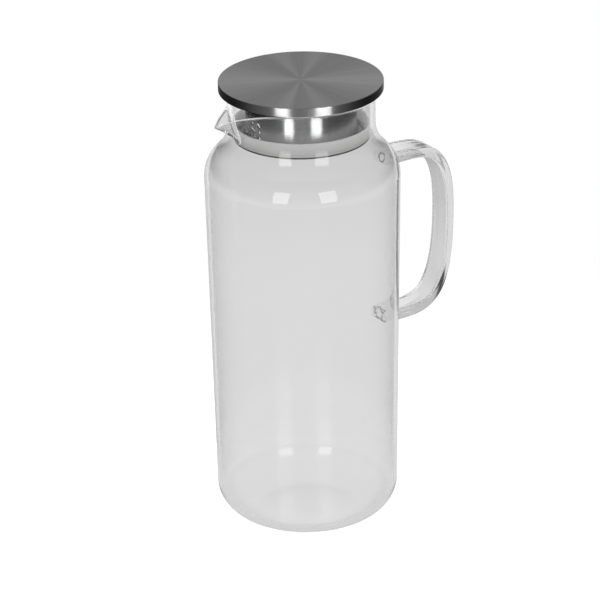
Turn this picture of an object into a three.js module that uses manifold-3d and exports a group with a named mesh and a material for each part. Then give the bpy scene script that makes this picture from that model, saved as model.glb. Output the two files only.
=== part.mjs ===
// Glass carafe with a pulled spout, a fused strap handle and a lift-out strainer lid.
// Millimetres, +Z up, origin in the middle of the flat underside.
// The handle points to +X and the spout to -X.
import * as THREE from 'three';
import { mergeVertices } from 'three/addons/utils/BufferGeometryUtils.js';
import Module from 'manifold-3d';

const wasm = await Module();
wasm.setup();

const RAD = Math.PI / 180;

// Fits between pieces
const CLEARANCE = 0.3;

// Glass body
const TOTAL_HEIGHT = 268;
const BASE_DIAMETER = 105;
const SHOULDER_DIAMETER = 112.3;
const NECK_DIAMETER = 84.4;
const NECK_HEIGHT = 18;
const HEEL_WIDTH = 25;
const HEEL_HEIGHT = 20.5;
const SHOULDER_RADIUS = 20;
const NECK_FILLET = 23;
const WALL = 2.2;
const NECK_WALL = 2.8;
const FLOOR = 2.6;

// Spout: two straight flanks pulled out of the neck to a nose, with the rim let down towards it
const SPOUT_REACH = 16.9;
const SPOUT_DEPTH = 22.9;
const SPOUT_FLANK = 37 * RAD;
const SPOUT_NOSE = 0.8;
const SPOUT_BLEND = 4;
const SPOUT_TOE = 0.08;
const SPOUT_DROP = 5.4;
const SPOUT_DROP_SPREAD = 4.3 * RAD;
const SPOUT_DROP_GROWTH = 1.5;
const SADDLE_DROP = 3.6;
const SADDLE_HALF_ANGLE = 30 * RAD;
const SPOUT_REACHES_BACK = 60 * RAD;

// Strap handle, measured from the wall of the body to the middle of the strap
const HANDLE_REACH = 42.35;
const HANDLE_HEIGHT = 98.6;
const HANDLE_SHOULDER_DROP = 1.45;
const GRIP_DROP = 38;
const UPPER_ARM = 12.2;
const UPPER_BEND_OUT = 14.5;
const UPPER_BEND_UP = 36;
const LOWER_ARM = 7.1;
const LOWER_BEND_OUT = 20.7;
const LOWER_SWEEP = 60.2;
const HANDLE_WIDTH = 16.3;
const HANDLE_THICKNESS = 5.2;
const HANDLE_EDGE = 1.8;
const UPPER_FLARE = 2.3;
const LOWER_FLARE = 1.6;
const FLARE_LENGTH = 49;

// Lid disc
const LID_OVERHANG = 4.95;
const LID_HEIGHT = 5.3;
const LID_EDGE = 0.38;
const LID_SHEET = 1;
const PLATE_SHEET = 0.9;
const RIM_GAP = 2.3;

// Strainer sleeve under the disc
const POUR_GAP = 7.4;
const SLEEVE_SHEET = 0.9;
const SLEEVE_DEPTH = 26.5;
const SLEEVE_BEND = 1.2;
const SLEEVE_FLANGE = 5;
const FOOT_GAP = 3.2;
const HOLE_DIAMETER = 2.2;
const HOLE_COLUMNS = 5;
const HOLE_ROWS = 4;
const HOLE_PITCH_ANGLE = 8 * RAD;
const HOLE_PITCH_HEIGHT = 3.7;
const HOLE_ABOVE_FOOT = 3.9;
const LID_TURN = -6.7 * RAD;

// Silicone lip seal round the foot of the sleeve
const SEAL_BASE = 1.9;
const SEAL_WALL = 1.3;
const SEAL_EDGE = 0.4;
const SEAL_BEAD_HEIGHT = 0.9;
const SEAL_BEAD_REACH = 1.1;
const SEAL_LIP_HEIGHT = 5.6;
const SEAL_LIP_TIP = 0.8;
const SEAL_LIP_BOW = 0.4;
const SEAL_FOOT_LAP = 3;

// Facets
const ROUND_SEGMENTS = 64;
const BODY_SEGMENTS = 64;
const SPOUT_CROWDING = 0.28;
const HEEL_STEPS = 6;
const SHOULDER_STEPS = 6;
const NECK_STEPS = 4;
const RIM_STEPS = 5;
const BEND_STEPS = 3;
const EDGE_STEPS = 2;
const HANDLE_STATIONS = 38;
const HANDLE_EDGE_STEPS = 3;
const HOLE_FACETS = 12;

// Levels and radii that follow from the sizes above
const baseRadius = BASE_DIAMETER / 2;
const shoulderRadius = SHOULDER_DIAMETER / 2;
const neckRadius = NECK_DIAMETER / 2;
const neckBore = neckRadius - NECK_WALL;
const lidUnder = TOTAL_HEIGHT - LID_HEIGHT;
const rimTop = lidUnder - RIM_GAP;
const neckBase = rimTop - NECK_HEIGHT;
const bendSum = SHOULDER_RADIUS + NECK_FILLET;
const shoulderTurn = Math.acos(1 - (shoulderRadius - neckRadius) / bendSum);
const shoulderStart = neckBase - bendSum * Math.sin(shoulderTurn);
const wallSlope = (shoulderRadius - baseRadius) / (shoulderStart - HEEL_HEIGHT);
const wallRadius = (height) => baseRadius + wallSlope * (height - HEEL_HEIGHT);
const lidRadius = neckRadius + LID_OVERHANG;
const skirtBore = lidRadius - LID_SHEET;
const sleeveRadius = neckBore - POUR_GAP;
const sleeveBore = sleeveRadius - SLEEVE_SHEET;
const footRadius = neckBore - FOOT_GAP;
const footUnder = lidUnder - SLEEVE_DEPTH;
const footTop = footUnder + SLEEVE_SHEET;

// A solid of revolution about Z from [radius, height] points, upwards on its outer side.
function revolve(profile, segments) {
  const points = profile.map(([radius, height]) => new THREE.Vector2(radius, height));
  return new THREE.LatheGeometry(points, segments).rotateX(Math.PI / 2);
}

// The same for a profile that closes on itself.
function revolveRing(profile, segments) {
  return revolve([...profile, profile[0]], segments);
}

// Points of an arc in [radius, height], its angles in degrees.
function arc(centre, radius, from, to, steps) {
  return Array.from({ length: steps + 1 }, (_, i) => {
    const angle = (from + ((to - from) * i) / steps) * RAD;
    return [centre[0] + radius * Math.cos(angle), centre[1] + radius * Math.sin(angle)];
  });
}

function geometryOf(positions, index) {
  const geometry = new THREE.BufferGeometry();
  geometry.setAttribute('position', new THREE.Float32BufferAttribute(positions, 3));
  geometry.setIndex(index);
  return geometry;
}

// A closed skin over equal rings of points, capped flat at both ends.
function loft(rings) {
  const count = rings[0].length;
  const positions = rings.flat().flatMap((point) => point.toArray());
  const index = [];
  for (let i = 0; i < rings.length - 1; i += 1) {
    const low = i * count;
    const high = low + count;
    for (let j = 0; j < count; j += 1) {
      const next = (j + 1) % count;
      index.push(low + j, low + next, high + next);
      index.push(low + j, high + next, high + j);
    }
  }
  const end = (rings.length - 1) * count;
  for (let j = 1; j < count - 1; j += 1) {
    index.push(0, j + 1, j);
    index.push(end, end + j, end + j + 1);
  }
  return geometryOf(positions, index);
}

function solidOf(source) {
  const bare = source.clone();
  bare.deleteAttribute('normal');
  bare.deleteAttribute('uv');
  const merged = mergeVertices(bare);
  return new wasm.Manifold(new wasm.Mesh({
    numProp: 3,
    vertProperties: new Float32Array(merged.attributes.position.array),
    triVerts: new Uint32Array(merged.index.array),
  }));
}

function geometryFrom(solid) {
  const mesh = solid.getMesh();
  return geometryOf(Array.from(mesh.vertProperties), Array.from(mesh.triVerts));
}

// Outer profile of the glass from the middle of the base to the neck: place, normal and wall
function outerProfile() {
  const flat = baseRadius - HEEL_WIDTH;
  const points = [
    { r: 0, z: 0, nr: 0, nz: -1, wall: FLOOR },
    { r: flat, z: 0, nr: 0, nz: -1, wall: FLOOR },
  ];
  for (let i = 1; i <= HEEL_STEPS; i += 1) {
    const share = i / HEEL_STEPS;
    const angle = (share * Math.PI) / 2;
    const normal = new THREE.Vector2(Math.sin(angle) / HEEL_WIDTH, -Math.cos(angle) / HEEL_HEIGHT);
    normal.normalize();
    points.push({
      r: flat + HEEL_WIDTH * Math.sin(angle),
      z: HEEL_HEIGHT * (1 - Math.cos(angle)),
      nr: normal.x,
      nz: normal.y,
      wall: FLOOR + (WALL - FLOOR) * share,
    });
  }
  for (let i = 0; i <= SHOULDER_STEPS; i += 1) {
    const angle = (i / SHOULDER_STEPS) * shoulderTurn;
    points.push({
      r: shoulderRadius - SHOULDER_RADIUS * (1 - Math.cos(angle)),
      z: shoulderStart + SHOULDER_RADIUS * Math.sin(angle),
      nr: Math.cos(angle),
      nz: Math.sin(angle),
      wall: WALL,
    });
  }
  for (let i = 1; i <= SHOULDER_STEPS; i += 1) {
    const share = i / SHOULDER_STEPS;
    const angle = (1 - share) * shoulderTurn;
    points.push({
      r: neckRadius + NECK_FILLET * (1 - Math.cos(angle)),
      z: neckBase - NECK_FILLET * Math.sin(angle),
      nr: Math.cos(angle),
      nz: Math.sin(angle),
      wall: WALL + (NECK_WALL - WALL) * share,
    });
  }
  const lipStart = rimTop - NECK_WALL / 2;
  for (let i = 1; i <= NECK_STEPS; i += 1) {
    const z = neckBase + ((lipStart - neckBase) * i) / NECK_STEPS;
    points.push({ r: neckRadius, z, nr: 1, nz: 0, wall: NECK_WALL });
  }
  return points;
}

// The spout draws the neck out to two flanks that are straight in plan and meet in a round nose,
// blends them into the round neck, and lets the rim down, most at the nose.
function pullSpout(radius, height, turn) {
  const share = Math.max(0, 1 - (rimTop - height) / SPOUT_DEPTH);
  if (share === 0) return [radius, height];
  const toe = (Math.hypot(share, SPOUT_TOE) - SPOUT_TOE) / (Math.hypot(1, SPOUT_TOE) - SPOUT_TOE);
  const tip = radius + SPOUT_REACH * toe;
  const nose = SPOUT_NOSE / tip;
  const aside = Math.min(Math.abs(turn), SPOUT_REACHES_BACK);
  const side = Math.hypot(Math.sin(aside), nose) - nose;
  const past = tip / (Math.cos(aside) + side / Math.tan(SPOUT_FLANK)) - radius;
  const blend = SPOUT_BLEND * share;
  const met = Math.max(0, past + blend);
  const pulled = past > blend ? past : (met * met) / (4 * blend);
  const saddle = Math.exp(-Math.pow(turn / SADDLE_HALF_ANGLE, 2));
  const drop = SPOUT_DROP * Math.exp(-side / SPOUT_DROP_SPREAD) + SADDLE_DROP * saddle;
  return [radius + pulled, height - drop * Math.pow(share, SPOUT_DROP_GROWTH)];
}

function bodyGeometry() {
  const outer = outerProfile();
  const inner = outer.map((p) => [p.r - p.nr * p.wall, p.z - p.nz * p.wall]).reverse();
  const lip = NECK_WALL / 2;
  const rim = arc([neckRadius - lip, rimTop - lip], lip, 0, 180, RIM_STEPS).slice(1, -1);
  const body = revolve([...outer.map((p) => [p.r, p.z]), ...rim, ...inner], BODY_SEGMENTS);
  const place = body.getAttribute('position');
  for (let i = 0; i < place.count; i += 1) {
    const radius = Math.hypot(place.getX(i), place.getY(i));
    const even = Math.atan2(-place.getY(i), -place.getX(i));
    const turn = even * (SPOUT_CROWDING + (1 - SPOUT_CROWDING) * (Math.abs(even) / Math.PI));
    const [r, z] = pullSpout(radius, place.getZ(i), turn);
    place.setXYZ(i, -r * Math.cos(turn), -r * Math.sin(turn), z);
  }
  return body;
}

// The room that the body needs, filled up to the axis
function bodyRoom() {
  const grown = outerProfile().map((p) => [p.r + p.nr * CLEARANCE, p.z + p.nz * CLEARANCE]);
  const top = grown[grown.length - 1][1];
  return solidOf(revolve([...grown, [0, top]], ROUND_SEGMENTS));
}

// Middle line of the strap: upper arm, bend, grip with its long lower sweep, lower arm
function handlePath() {
  const top = shoulderStart - HANDLE_SHOULDER_DROP;
  const bottom = top - HANDLE_HEIGHT;
  const grip = top - GRIP_DROP;
  const out = wallRadius(grip) + HANDLE_REACH;
  const upper = wallRadius(top) + UPPER_ARM;
  const lower = wallRadius(bottom) + LOWER_ARM;
  const at = (x, z) => new THREE.Vector3(x, 0, z);
  const path = new THREE.CurvePath();
  path.add(new THREE.LineCurve3(at(wallRadius(top) - 2 * WALL, top), at(upper, top)));
  path.add(new THREE.CubicBezierCurve3(
    at(upper, top),
    at(upper + UPPER_BEND_OUT, top),
    at(out, grip + UPPER_BEND_UP),
    at(out, grip),
  ));
  path.add(new THREE.CubicBezierCurve3(
    at(out, grip),
    at(out, grip - LOWER_SWEEP),
    at(lower + LOWER_BEND_OUT, bottom),
    at(lower, bottom),
  ));
  path.add(new THREE.LineCurve3(at(lower, bottom), at(wallRadius(bottom) - 2 * WALL, bottom)));
  return path;
}

// Section of the strap in [thickness, width]: an oblong with rounded edges
function strapSection(thickness) {
  const flat = thickness / 2 - HANDLE_EDGE;
  const side = HANDLE_WIDTH / 2 - HANDLE_EDGE;
  return [
    ...arc([flat, side], HANDLE_EDGE, 0, 90, HANDLE_EDGE_STEPS),
    ...arc([-flat, side], HANDLE_EDGE, 90, 180, HANDLE_EDGE_STEPS),
    ...arc([-flat, -side], HANDLE_EDGE, 180, 270, HANDLE_EDGE_STEPS),
    ...arc([flat, -side], HANDLE_EDGE, 270, 360, HANDLE_EDGE_STEPS),
  ];
}

function handleGeometry() {
  const path = handlePath();
  const length = path.getLength();
  const rings = [];
  for (let i = 0; i <= HANDLE_STATIONS; i += 1) {
    const share = i / HANDLE_STATIONS;
    const centre = path.getPointAt(share);
    const along = path.getTangentAt(share);
    const across = new THREE.Vector3(along.z, 0, -along.x);
    const upper = UPPER_FLARE * Math.exp(-Math.pow((share * length) / FLARE_LENGTH, 2));
    const lower = LOWER_FLARE * Math.exp(-Math.pow(((1 - share) * length) / FLARE_LENGTH, 2));
    const section = strapSection(HANDLE_THICKNESS + upper + lower);
    rings.push(section.map(([out, side]) => {
      const point = centre.clone().addScaledVector(across, out);
      point.y += side;
      return point;
    }));
  }
  return geometryFrom(solidOf(loft(rings)).subtract(bodyRoom()));
}

// Lid disc: a shallow drawn cup
function lidCapGeometry() {
  const innerTop = TOTAL_HEIGHT - LID_SHEET;
  return revolve([
    [0, innerTop],
    [skirtBore, innerTop],
    [skirtBore, lidUnder],
    ...arc([lidRadius - LID_EDGE, lidUnder + LID_EDGE], LID_EDGE, -90, 0, EDGE_STEPS),
    ...arc([lidRadius - LID_EDGE, TOTAL_HEIGHT - LID_EDGE], LID_EDGE, 0, 90, EDGE_STEPS),
    [0, TOTAL_HEIGHT],
  ], ROUND_SEGMENTS);
}

// Plate that closes the cup from below
function lidPlateGeometry() {
  const radius = skirtBore - CLEARANCE;
  return revolve([
    [0, lidUnder],
    [radius, lidUnder],
    [radius, lidUnder + PLATE_SHEET],
    [0, lidUnder + PLATE_SHEET],
  ], ROUND_SEGMENTS);
}

// Strainer sleeve: a tube with a welding flange above and an out-turned foot below
function sleeveTube() {
  const top = lidUnder - CLEARANCE;
  const flangeBore = sleeveBore - SLEEVE_FLANGE;
  const bend = [sleeveRadius + SLEEVE_BEND, footTop + SLEEVE_BEND];
  return revolveRing([
    ...arc(bend, SLEEVE_BEND + SLEEVE_SHEET, 180, 270, BEND_STEPS),
    [footRadius, footUnder],
    [footRadius, footTop],
    ...arc(bend, SLEEVE_BEND, 270, 180, BEND_STEPS),
    [sleeveRadius, top],
    [flangeBore, top],
    [flangeBore, top - SLEEVE_SHEET],
    [sleeveBore, top - SLEEVE_SHEET],
  ], ROUND_SEGMENTS);
}

function sleeveGeometry() {
  const radius = HOLE_DIAMETER / 2;
  const middle = (sleeveRadius + sleeveBore) / 2;
  let sleeve = solidOf(sleeveTube());
  for (let row = 0; row < HOLE_ROWS; row += 1) {
    for (let column = 0; column < HOLE_COLUMNS; column += 1) {
      const side = column - (HOLE_COLUMNS - 1) / 2;
      const drill = new THREE.CylinderGeometry(radius, radius, 4 * SLEEVE_SHEET, HOLE_FACETS);
      drill.rotateZ(Math.PI / 2);
      drill.translate(-middle, 0, footTop + HOLE_ABOVE_FOOT + row * HOLE_PITCH_HEIGHT);
      drill.rotateZ(LID_TURN + side * HOLE_PITCH_ANGLE);
      sleeve = sleeve.subtract(solidOf(drill));
    }
  }
  return geometryFrom(sleeve);
}

// Lip seal: a groove that holds the foot, and a thin lip that leans out to the neck
function sealGeometry() {
  const groove = footRadius + CLEARANCE;
  const outside = groove + SEAL_WALL;
  const grooveLow = footUnder - CLEARANCE;
  const grooveHigh = footTop + CLEARANCE;
  const under = grooveLow - SEAL_BASE;
  const beadTop = grooveHigh + SEAL_BEAD_HEIGHT;
  const beadBore = footRadius - SEAL_BEAD_REACH;
  const baseBore = footRadius - SEAL_FOOT_LAP;
  const lipTop = beadTop + SEAL_LIP_HEIGHT;
  const lipMiddle = beadTop + SEAL_LIP_HEIGHT / 2;
  const lipReach = neckBore - CLEARANCE;
  const bow = outside + SEAL_LIP_BOW * (lipReach - outside);
  const bowWall = (SEAL_WALL + SEAL_LIP_TIP) / 2;
  return revolveRing([
    [baseBore, under],
    [outside - SEAL_EDGE, under],
    [outside, under + SEAL_EDGE],
    [outside, beadTop],
    [bow, lipMiddle],
    [lipReach, lipTop - SEAL_EDGE],
    [lipReach - SEAL_EDGE, lipTop],
    [lipReach - SEAL_LIP_TIP, lipTop],
    [bow - bowWall, lipMiddle],
    [groove, beadTop + SEAL_EDGE],
    [groove - SEAL_EDGE, beadTop],
    [beadBore, beadTop],
    [beadBore, grooveHigh],
    [groove, grooveHigh],
    [groove, grooveLow],
    [baseBore, grooveLow],
  ], ROUND_SEGMENTS);
}

const carafe = new THREE.Group();

function addPiece(name, geometry, color, roughness, metalness) {
  const mesh = new THREE.Mesh(geometry, new THREE.MeshStandardMaterial({ color, roughness, metalness }));
  mesh.name = name;
  carafe.add(mesh);
}

addPiece('glass_body', bodyGeometry(), 0xdde3e3, 0.05, 0);
addPiece('glass_handle', handleGeometry(), 0xd6dede, 0.05, 0);
addPiece('lid_cap', lidCapGeometry(), 0x8f9091, 0.32, 1);
addPiece('lid_plate', lidPlateGeometry(), 0x8a8b8c, 0.4, 1);
addPiece('strainer_sleeve', sleeveGeometry(), 0x97989a, 0.28, 1);
addPiece('lip_seal', sealGeometry(), 0xd9d9d6, 0.55, 0);

export default carafe;
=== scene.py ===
"""Glass carafe with a pulled spout, a fused strap handle and a lift-out strainer lid.

Lengths are written in millimetres and put into the meshes in metres.
The handle points to +X and the spout to -X; the photograph is taken from the -Y side,
turned 33 degrees towards the spout.
"""
import math

import bpy
import numpy as np
from mathutils import Matrix, Vector


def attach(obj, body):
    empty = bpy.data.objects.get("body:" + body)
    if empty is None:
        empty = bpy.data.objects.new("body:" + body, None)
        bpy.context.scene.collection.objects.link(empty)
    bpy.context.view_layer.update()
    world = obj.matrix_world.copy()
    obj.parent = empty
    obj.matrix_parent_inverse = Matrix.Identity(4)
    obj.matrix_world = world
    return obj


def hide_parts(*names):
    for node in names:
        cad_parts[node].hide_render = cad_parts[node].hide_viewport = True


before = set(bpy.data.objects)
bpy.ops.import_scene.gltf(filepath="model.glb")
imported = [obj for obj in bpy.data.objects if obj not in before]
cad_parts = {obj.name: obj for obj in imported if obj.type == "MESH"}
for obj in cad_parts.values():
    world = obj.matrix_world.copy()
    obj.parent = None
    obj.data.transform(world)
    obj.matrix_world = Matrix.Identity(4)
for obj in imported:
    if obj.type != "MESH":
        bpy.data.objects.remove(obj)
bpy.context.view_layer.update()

MM = 0.001

# Glass body
TOTAL_HEIGHT = 268.0
BASE_RADIUS = 52.5
SHOULDER_RADIUS = 56.15
NECK_RADIUS = 42.2
NECK_HEIGHT = 18.0
HEEL_WIDTH = 25.0
HEEL_HEIGHT = 20.5
SHOULDER_ARC = 20.0
NECK_FILLET = 23.0
WALL = 2.2
NECK_WALL = 2.8
FLOOR = 2.6

# Spout
SPOUT_REACH = 16.9
SPOUT_DEPTH = 22.9
SPOUT_FLANK = math.radians(37)
SPOUT_NOSE = 0.8
SPOUT_BLEND = 4.0
SPOUT_TOE = 0.08
SPOUT_DROP = 5.4
SPOUT_DROP_SPREAD = math.radians(4.3)
SPOUT_DROP_GROWTH = 1.5
SADDLE_DROP = 3.6
SADDLE_HALF_ANGLE = math.radians(30)
SPOUT_REACHES_BACK = math.radians(60)

# Strap handle
HANDLE_REACH = 42.35
HANDLE_HEIGHT = 98.6
HANDLE_SHOULDER_DROP = 1.45
GRIP_DROP = 38.0
UPPER_ARM = 12.2
UPPER_BEND_OUT = 14.5
UPPER_BEND_UP = 36.0
LOWER_ARM = 7.1
LOWER_BEND_OUT = 20.7
LOWER_SWEEP = 60.2
HANDLE_WIDTH = 16.3
HANDLE_THICKNESS = 5.2
HANDLE_EDGE = 1.8
UPPER_FLARE = 2.3
LOWER_FLARE = 1.6
FLARE_LENGTH = 44.0
WELD_GAP = 0.06

# Lid
LID_RADIUS = 47.15
LID_HEIGHT = 5.3
LID_EDGE = 0.38
LID_SHEET = 1.0
PLATE_SHEET = 0.9
SHEET_EDGE = 0.2
CUP_CORNER = 0.3
SKIRT_BEVEL = 0.15
RIM_GAP = 2.3
CLEARANCE = 0.3

# Strainer sleeve
SLEEVE_RADIUS = 32.0
SLEEVE_SHEET = 0.9
SLEEVE_DEPTH = 26.5
SLEEVE_BEND = 1.2
SLEEVE_FLANGE = 5.0
FOOT_RADIUS = 36.2
HOLE_RADIUS = 1.1
HOLE_COLUMNS = 5
HOLE_ROWS = 4
HOLE_PITCH_ANGLE = math.radians(8)
HOLE_PITCH_HEIGHT = 3.7
HOLE_ABOVE_FOOT = 3.9
LID_TURN = math.radians(-6.7)

# Lip seal
SEAL_BASE = 1.9
SEAL_WALL = 1.3
SEAL_EDGE = 0.4
SEAL_BEAD_HEIGHT = 0.9
SEAL_BEAD_REACH = 1.1
SEAL_LIP_HEIGHT = 5.6
SEAL_LIP_TIP = 0.8
SEAL_LIP_BOW = 0.4
SEAL_FOOT_LAP = 3.0

# Table, just under the base
TABLE_GAP = 0.3

# Levels and radii that follow
LID_UNDER = TOTAL_HEIGHT - LID_HEIGHT
RIM_TOP = LID_UNDER - RIM_GAP
NECK_BASE = RIM_TOP - NECK_HEIGHT
NECK_BORE = NECK_RADIUS - NECK_WALL
BEND_SUM = SHOULDER_ARC + NECK_FILLET
SHOULDER_TURN = math.acos(1 - (SHOULDER_RADIUS - NECK_RADIUS) / BEND_SUM)
SHOULDER_START = NECK_BASE - BEND_SUM * math.sin(SHOULDER_TURN)
WALL_SLOPE = (SHOULDER_RADIUS - BASE_RADIUS) / (SHOULDER_START - HEEL_HEIGHT)
FOOT_UNDER = LID_UNDER - SLEEVE_DEPTH
FOOT_TOP = FOOT_UNDER + SLEEVE_SHEET
SLEEVE_BORE = SLEEVE_RADIUS - SLEEVE_SHEET
SEAL_UNDER = FOOT_UNDER - CLEARANCE - SEAL_BASE
TAU = 2 * math.pi

# Fineness of the grids
BODY_COLUMNS = 264
SPOUT_CROWDING = 0.3
HEEL_ROWS = 36
WALL_ROWS = 24
BEND_ROWS = 30
NECK_ROWS = 22
LIP_ROWS = 15
UPPER_ARM_STEPS, UPPER_BEND_STEPS = 60, 200
LOWER_BEND_STEPS, LOWER_ARM_STEPS = 300, 40
STRAP_ROWS = 190
STRAP_EDGE_STEPS, STRAP_FLAT_STEPS = 10, 9
ROOT_RINGS = 12
LID_COLUMNS = 256
PLATE_COLUMNS = 192
SEAL_COLUMNS = 224
SEAL_LIP_STEPS = 9
HOLE_STEPS = 6
HOLE_RINGS = 4
HOLE_LAYERS = 3
PAST_ARC = 0.05
NO_TRIANGLES = np.zeros((0, 3), int)


def wall_radius(height):
    """Radius of the straight wall: a line from the heel to the start of the shoulder."""
    return BASE_RADIUS + WALL_SLOPE * (height - HEEL_HEIGHT)


def mesh_object(name, points, quads, triangles, material):
    """Puts whole arrays of points (mm), quads and triangles into a smooth mesh at the origin."""
    mesh = bpy.data.meshes.new(name)
    corners = np.concatenate([quads.ravel(), triangles.ravel()]).astype(np.int32)
    sizes = np.concatenate([np.full(len(quads), 4), np.full(len(triangles), 3)])
    starts = np.concatenate([[0], np.cumsum(sizes)[:-1]]).astype(np.int32)
    mesh.vertices.add(len(points))
    mesh.vertices.foreach_set("co", (points * MM).astype(np.float32).ravel())
    mesh.loops.add(len(corners))
    mesh.loops.foreach_set("vertex_index", corners)
    mesh.polygons.add(len(sizes))
    mesh.polygons.foreach_set("loop_start", starts)
    mesh.polygons.foreach_set("use_smooth", np.ones(len(sizes), bool))
    mesh.update(calc_edges=True)
    mesh.validate()
    piece = bpy.data.objects.new(name, mesh)
    piece.data.materials.append(material)
    bpy.context.scene.collection.objects.link(piece)
    return piece


def ring_quads(rows, columns, close_rows=False):
    """Quads of a grid whose columns go once round, and whose rows may close on themselves too."""
    last = rows if close_rows else rows - 1
    i, j = np.meshgrid(np.arange(last), np.arange(columns), indexing="ij")
    low, high = (i % rows) * columns, ((i + 1) % rows) * columns
    right = (j + 1) % columns
    return np.stack([low + j, low + right, high + right, high + j], -1).reshape(-1, 4)


def revolved(profile, angles, warp=None):
    """Grid of points for a profile of radius and height turned about Z through the angles.

    warp takes the radius, height and angle grids and gives the new radius and height grids.
    """
    radius, turn = np.meshgrid(profile[:, 0], angles, indexing="ij")
    height, _ = np.meshgrid(profile[:, 1], angles, indexing="ij")
    if warp is not None:
        radius, height = warp(radius, height, turn)
    return np.stack([radius * np.cos(turn), radius * np.sin(turn), height], -1)


def capped_grid(grid):
    """Points and faces of a revolved grid whose first and last rows lie on the axis, as poles."""
    rows, columns = grid.shape[:2]
    inner = grid[1:-1]
    count = (rows - 2) * columns
    points = np.concatenate([inner.reshape(-1, 3), grid[0, :1], grid[-1, :1]])
    j = np.arange(columns)
    right = (j + 1) % columns
    low = np.stack([np.full(columns, count), right, j], -1)
    top = (rows - 3) * columns
    high = np.stack([np.full(columns, count + 1), top + j, top + right], -1)
    return points, ring_quads(rows - 2, columns), np.concatenate([low, high])


def ring_grid(grid):
    """Points and faces of a revolved grid whose rows close on themselves, as a ring."""
    rows, columns = grid.shape[:2]
    return grid.reshape(-1, 3), ring_quads(rows, columns, True), NO_TRIANGLES


def arc(centre, radius, start, stop, count):
    """Points of an arc in radius and height, its angles in degrees."""
    angle = np.radians(np.linspace(start, stop, count))
    return np.stack([centre[0] + radius * np.cos(angle), centre[1] + radius * np.sin(angle)], -1)


def line(start, stop, count):
    """Evenly spaced points of a straight line, without its last point."""
    return np.linspace(start, stop, count, endpoint=False)


def even_angles(count):
    """Evenly spaced angles once round."""
    return np.linspace(0, TAU, count, endpoint=False)


# Glass body

def glass_profile():
    """Outer outline, round lip and inner outline of the glass, from axis to axis.

    Outside: flat base, a quarter ellipse for the heel, the leaning wall, an arc for the shoulder,
    a reversed arc into the neck and the straight neck. The inside follows each outer point at
    the wall's thickness along its normal.
    """
    flat = BASE_RADIUS - HEEL_WIDTH
    heel = np.linspace(0, math.pi / 2, HEEL_ROWS)
    share = heel / (math.pi / 2)
    heel_normal = np.stack([np.sin(heel) / HEEL_WIDTH, -np.cos(heel) / HEEL_HEIGHT], -1)
    heel_normal /= np.linalg.norm(heel_normal, axis=1, keepdims=True)
    heel_points = np.stack([flat + HEEL_WIDTH * np.sin(heel), HEEL_HEIGHT * (1 - np.cos(heel))], -1)
    shoulder = np.linspace(0, SHOULDER_TURN, BEND_ROWS)
    fillet = np.linspace(SHOULDER_TURN, 0, BEND_ROWS)[1:]
    wall = line((BASE_RADIUS, HEEL_HEIGHT), (SHOULDER_RADIUS, SHOULDER_START), WALL_ROWS)[1:]
    neck_top = RIM_TOP - NECK_WALL / 2
    neck = np.linspace((NECK_RADIUS, NECK_BASE), (NECK_RADIUS, neck_top), NECK_ROWS)[1:]
    base = line((0.0, 0.0), (flat, 0.0), 6)
    outer = np.concatenate([
        base,
        heel_points,
        wall,
        np.stack([SHOULDER_RADIUS - SHOULDER_ARC * (1 - np.cos(shoulder)),
                  SHOULDER_START + SHOULDER_ARC * np.sin(shoulder)], -1),
        np.stack([NECK_RADIUS + NECK_FILLET * (1 - np.cos(fillet)),
                  NECK_BASE - NECK_FILLET * np.sin(fillet)], -1),
        neck,
    ])
    normal = np.concatenate([
        np.tile([0.0, -1.0], (len(base), 1)),
        heel_normal,
        np.tile([1.0, 0.0], (len(wall), 1)),
        np.stack([np.cos(shoulder), np.sin(shoulder)], -1),
        np.stack([np.cos(fillet), np.sin(fillet)], -1),
        np.tile([1.0, 0.0], (len(neck), 1)),
    ])
    thickness = np.concatenate([
        np.full(len(base), FLOOR),
        FLOOR + (WALL - FLOOR) * share,
        np.full(len(wall) + len(shoulder), WALL),
        np.linspace(WALL, NECK_WALL, len(fillet)),
        np.full(len(neck), NECK_WALL),
    ])
    inner = outer - normal * thickness[:, None]
    lip = NECK_WALL / 2
    rim = arc((NECK_RADIUS - lip, RIM_TOP - lip), lip, 0, 180, LIP_ROWS)[1:-1]
    return np.concatenate([outer, rim, inner[::-1]])


def pull_spout(radius, height, turn):
    """Draws the neck out and its rim down round the -X side.

    In plan the wall is the larger, softly blended, of the round neck and of two straight flanks
    that meet in a round nose; the nose runs out in a straight keel from its root to the rim, and
    the rim drops by a narrow peak at the nose and by a wide saddle.
    """
    turned = np.abs((turn % TAU) - math.pi)
    share = np.clip(1 - (RIM_TOP - height) / SPOUT_DEPTH, 0, None)
    toe = (np.hypot(share, SPOUT_TOE) - SPOUT_TOE) / (math.hypot(1, SPOUT_TOE) - SPOUT_TOE)
    tip = radius + SPOUT_REACH * toe
    nose = SPOUT_NOSE / np.maximum(tip, NECK_BORE)
    aside = np.minimum(turned, SPOUT_REACHES_BACK)
    side = np.hypot(np.sin(aside), nose) - nose
    past = tip / (np.cos(aside) + side / math.tan(SPOUT_FLANK)) - radius
    blend = np.maximum(SPOUT_BLEND * share, 1e-6)
    met = np.maximum(past + blend, 0) ** 2 / (4 * blend)
    pulled = np.where(share > 0, np.where(past > blend, past, met), 0)
    saddle = np.exp(-(turned / SADDLE_HALF_ANGLE) ** 2)
    drop = SPOUT_DROP * np.exp(-side / SPOUT_DROP_SPREAD) + SADDLE_DROP * saddle
    return radius + pulled, height - drop * share ** SPOUT_DROP_GROWTH


def spout_angles(count, crowding):
    """Angles once round, closer together at the spout: the even turn times a rising share."""
    even = np.linspace(-math.pi, math.pi, count, endpoint=False)
    return math.pi + even * (crowding + (1 - crowding) * np.abs(even) / math.pi)


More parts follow.
